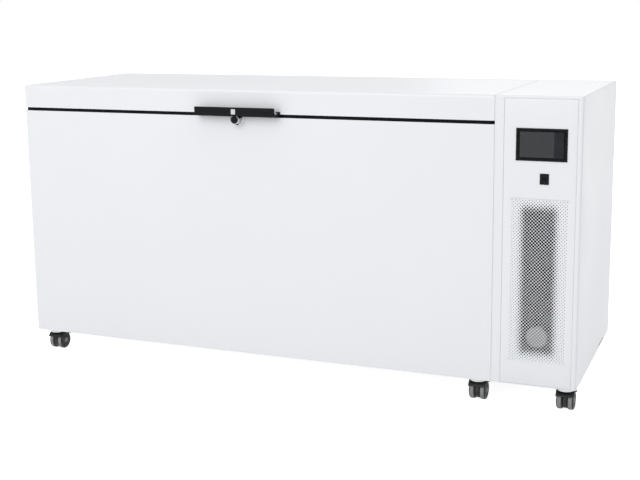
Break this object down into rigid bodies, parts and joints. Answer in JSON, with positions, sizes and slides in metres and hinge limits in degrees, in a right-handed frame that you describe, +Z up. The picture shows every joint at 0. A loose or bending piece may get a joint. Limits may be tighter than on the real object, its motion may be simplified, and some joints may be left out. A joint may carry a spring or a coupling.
{
  "type": "chest freezer",
  "caption": "Long white ultra low temperature chest freezer with a hinged lid, bar handle, lock, inner lids and a machine tower at its right end, on swivel casters.",
  "frame": {"origin": "on the floor, under the middle of the whole freezer's bounding box", "axes": "+Z up, -Y towards the front with the handle, +X towards the machine tower"},
  "size_m": [2.09, 0.7965, 1.037],
  "materials": {
    "white_enamel": "gloss",
    "frame_steel": "satin",
    "zinc_steel": "satin",
    "stainless": "satin",
    "copper": "satin",
    "pale_plastic": "satin",
    "inner_lid_plastic": "satin",
    "foam": "matte",
    "foil_panel": "satin",
    "black_foam": "matte",
    "dark_rubber": "matte",
    "black_plastic": "satin",
    "chrome": "polished",
    "dark_glass": "gloss",
    "hinge_steel": "satin",
    "fin_aluminium": "satin",
    "motor_steel": "satin",
    "black_steel": "satin",
    "board_green": "satin",
    "fan_plastic": "satin",
    "caster_plastic": "satin",
    "wheel_grey": "matte"
  },
  "bodies": {
    "cabinet": {"base_frame": "white_enamel", "base_pan": "frame_steel", "cabinet_shell": "white_enamel", "cascade_exchanger": "black_foam", "caster_bolts": "zinc_steel", "caster_plates": "zinc_steel", "chamber_liner": "stainless", "compressor_feet": "dark_rubber", "compressors": "black_steel", "condenser_fins": "fin_aluminium", "condenser_tubes": "copper", "control_board": "board_green", "control_box": "frame_steel", "data_port": "black_plastic", "display_bezel": "black_plastic", "evaporator_coil": "copper", "fan_frames": "black_plastic", "fan_motors": "motor_steel", "foam_body": "foam", "front_panel": "white_enamel", "hinge_body_leaves": "hinge_steel", "hinge_pins": "hinge_steel", "inner_hinge_rod": "hinge_steel", "lock_barrel": "chrome", "panel_screws": "zinc_steel", "power_inlet": "black_plastic", "rear_panel": "white_enamel", "refrigerant_pipes": "copper", "refrigerant_vessels": "copper", "rim_collar": "pale_plastic", "side_panel": "white_enamel", "top_cover": "white_enamel", "touch_screen": "dark_glass", "tower_frame": "frame_steel", "tower_left_panel": "white_enamel", "vacuum_panels": "foil_panel"},
    "lid": {"lid_shell": "white_enamel", "lid_foam": "foam", "lid_liner": "pale_plastic", "lid_gasket": "dark_rubber", "lid_handle": "black_plastic", "lock_keeper": "chrome", "hinge_lid_leaves": "hinge_steel"},
    "lock": {"lock_plug": "black_plastic"},
    "inner_lid_left": {"inner_lid_left": "inner_lid_plastic"},
    "inner_lid_right": {"inner_lid_right": "inner_lid_plastic"},
    "fan_lower": {"fan_blades_lower": "fan_plastic"},
    "fan_upper": {"fan_blades_upper": "fan_plastic"},
    "caster_1": {"caster_fork_1": "caster_plastic"},
    "wheels_1": {"caster_wheels_1": "wheel_grey"},
    "caster_2": {"caster_fork_2": "caster_plastic"},
    "wheels_2": {"caster_wheels_2": "wheel_grey"},
    "caster_3": {"caster_fork_3": "caster_plastic"},
    "wheels_3": {"caster_wheels_3": "wheel_grey"},
    "caster_4": {"caster_fork_4": "caster_plastic"},
    "wheels_4": {"caster_wheels_4": "wheel_grey"},
    "caster_5": {"caster_fork_5": "caster_plastic"},
    "wheels_5": {"caster_wheels_5": "wheel_grey"},
    "caster_6": {"caster_fork_6": "caster_plastic"},
    "wheels_6": {"caster_wheels_6": "wheel_grey"}
  },
  "joints": [
    {"name": "lid_hinge", "type": "hinge", "parent": "cabinet", "child": "lid", "pos_m": [-0.14, 0.38925, 0.948], "axis": [-1, 0, 0], "range_deg": [0, 80]},
    {"name": "lock_turn", "type": "hinge", "parent": "cabinet", "child": "lock", "pos_m": [-0.143, -0.35475, 0.935], "axis": [0, 1, 0], "range_deg": [0, 180]},
    {"name": "inner_left_hinge", "type": "hinge", "parent": "cabinet", "child": "inner_lid_left", "pos_m": [-0.54, 0.27225, 0.922], "axis": [-1, 0, 0], "range_deg": [0, 76]},
    {"name": "inner_right_hinge", "type": "hinge", "parent": "cabinet", "child": "inner_lid_right", "pos_m": [0.26, 0.27225, 0.922], "axis": [-1, 0, 0], "range_deg": [0, 76]},
    {"name": "fan_lower_spin", "type": "hinge", "parent": "cabinet", "child": "fan_lower", "pos_m": [0.909, -0.31475, 0.243], "axis": [0, 1, 0], "continuous": true},
    {"name": "fan_upper_spin", "type": "hinge", "parent": "cabinet", "child": "fan_upper", "pos_m": [0.909, -0.31475, 0.438], "axis": [0, 1, 0], "continuous": true},
    {"name": "caster_swivel_1", "type": "hinge", "parent": "cabinet", "child": "caster_1", "pos_m": [-0.981, -0.30675, 0.085], "axis": [0, 0, 1], "continuous": true},
    {"name": "wheel_roll_1", "type": "hinge", "parent": "caster_1", "child": "wheels_1", "pos_m": [-0.981, -0.29475, 0.0325], "axis": [1, 0, 0], "continuous": true},
    {"name": "caster_swivel_2", "type": "hinge", "parent": "cabinet", "child": "caster_2", "pos_m": [0.711, -0.30675, 0.085], "axis": [0, 0, 1], "continuous": true},
    {"name": "wheel_roll_2", "type": "hinge", "parent": "caster_2", "child": "wheels_2", "pos_m": [0.711, -0.29475, 0.0325], "axis": [1, 0, 0], "continuous": true},
    {"name": "caster_swivel_3", "type": "hinge", "parent": "cabinet", "child": "caster_3", "pos_m": [1.005, -0.30675, 0.085], "axis": [0, 0, 1], "continuous": true},
    {"name": "wheel_roll_3", "type": "hinge", "parent": "caster_3", "child": "wheels_3", "pos_m": [1.005, -0.29475, 0.0325], "axis": [1, 0, 0], "continuous": true},
    {"name": "caster_swivel_4", "type": "hinge", "parent": "cabinet", "child": "caster_4", "pos_m": [-0.965, 0.33225, 0.085], "axis": [0, 0, 1], "continuous": true},
    {"name": "wheel_roll_4", "type": "hinge", "parent": "caster_4", "child": "wheels_4", "pos_m": [-0.965, 0.34425, 0.0325], "axis": [1, 0, 0], "continuous": true},
    {"name": "caster_swivel_5", "type": "hinge", "parent": "cabinet", "child": "caster_5", "pos_m": [0.711, 0.33225, 0.085], "axis": [0, 0, 1], "continuous": true},
    {"name": "wheel_roll_5", "type": "hinge", "parent": "caster_5", "child": "wheels_5", "pos_m": [0.711, 0.34425, 0.0325], "axis": [1, 0, 0], "continuous": true},
    {"name": "caster_swivel_6", "type": "hinge", "parent": "cabinet", "child": "caster_6", "pos_m": [0.965, 0.33225, 0.085], "axis": [0, 0, 1], "continuous": true},
    {"name": "wheel_roll_6", "type": "hinge", "parent": "caster_6", "child": "wheels_6", "pos_m": [0.965, 0.34425, 0.0325], "axis": [1, 0, 0], "continuous": true}
  ],
  "couplings": [
    {"joint": "inner_left_hinge", "follows": "lid_hinge", "ratio": 0.9},
    {"joint": "inner_right_hinge", "follows": "lid_hinge", "ratio": 0.9}
  ]
}
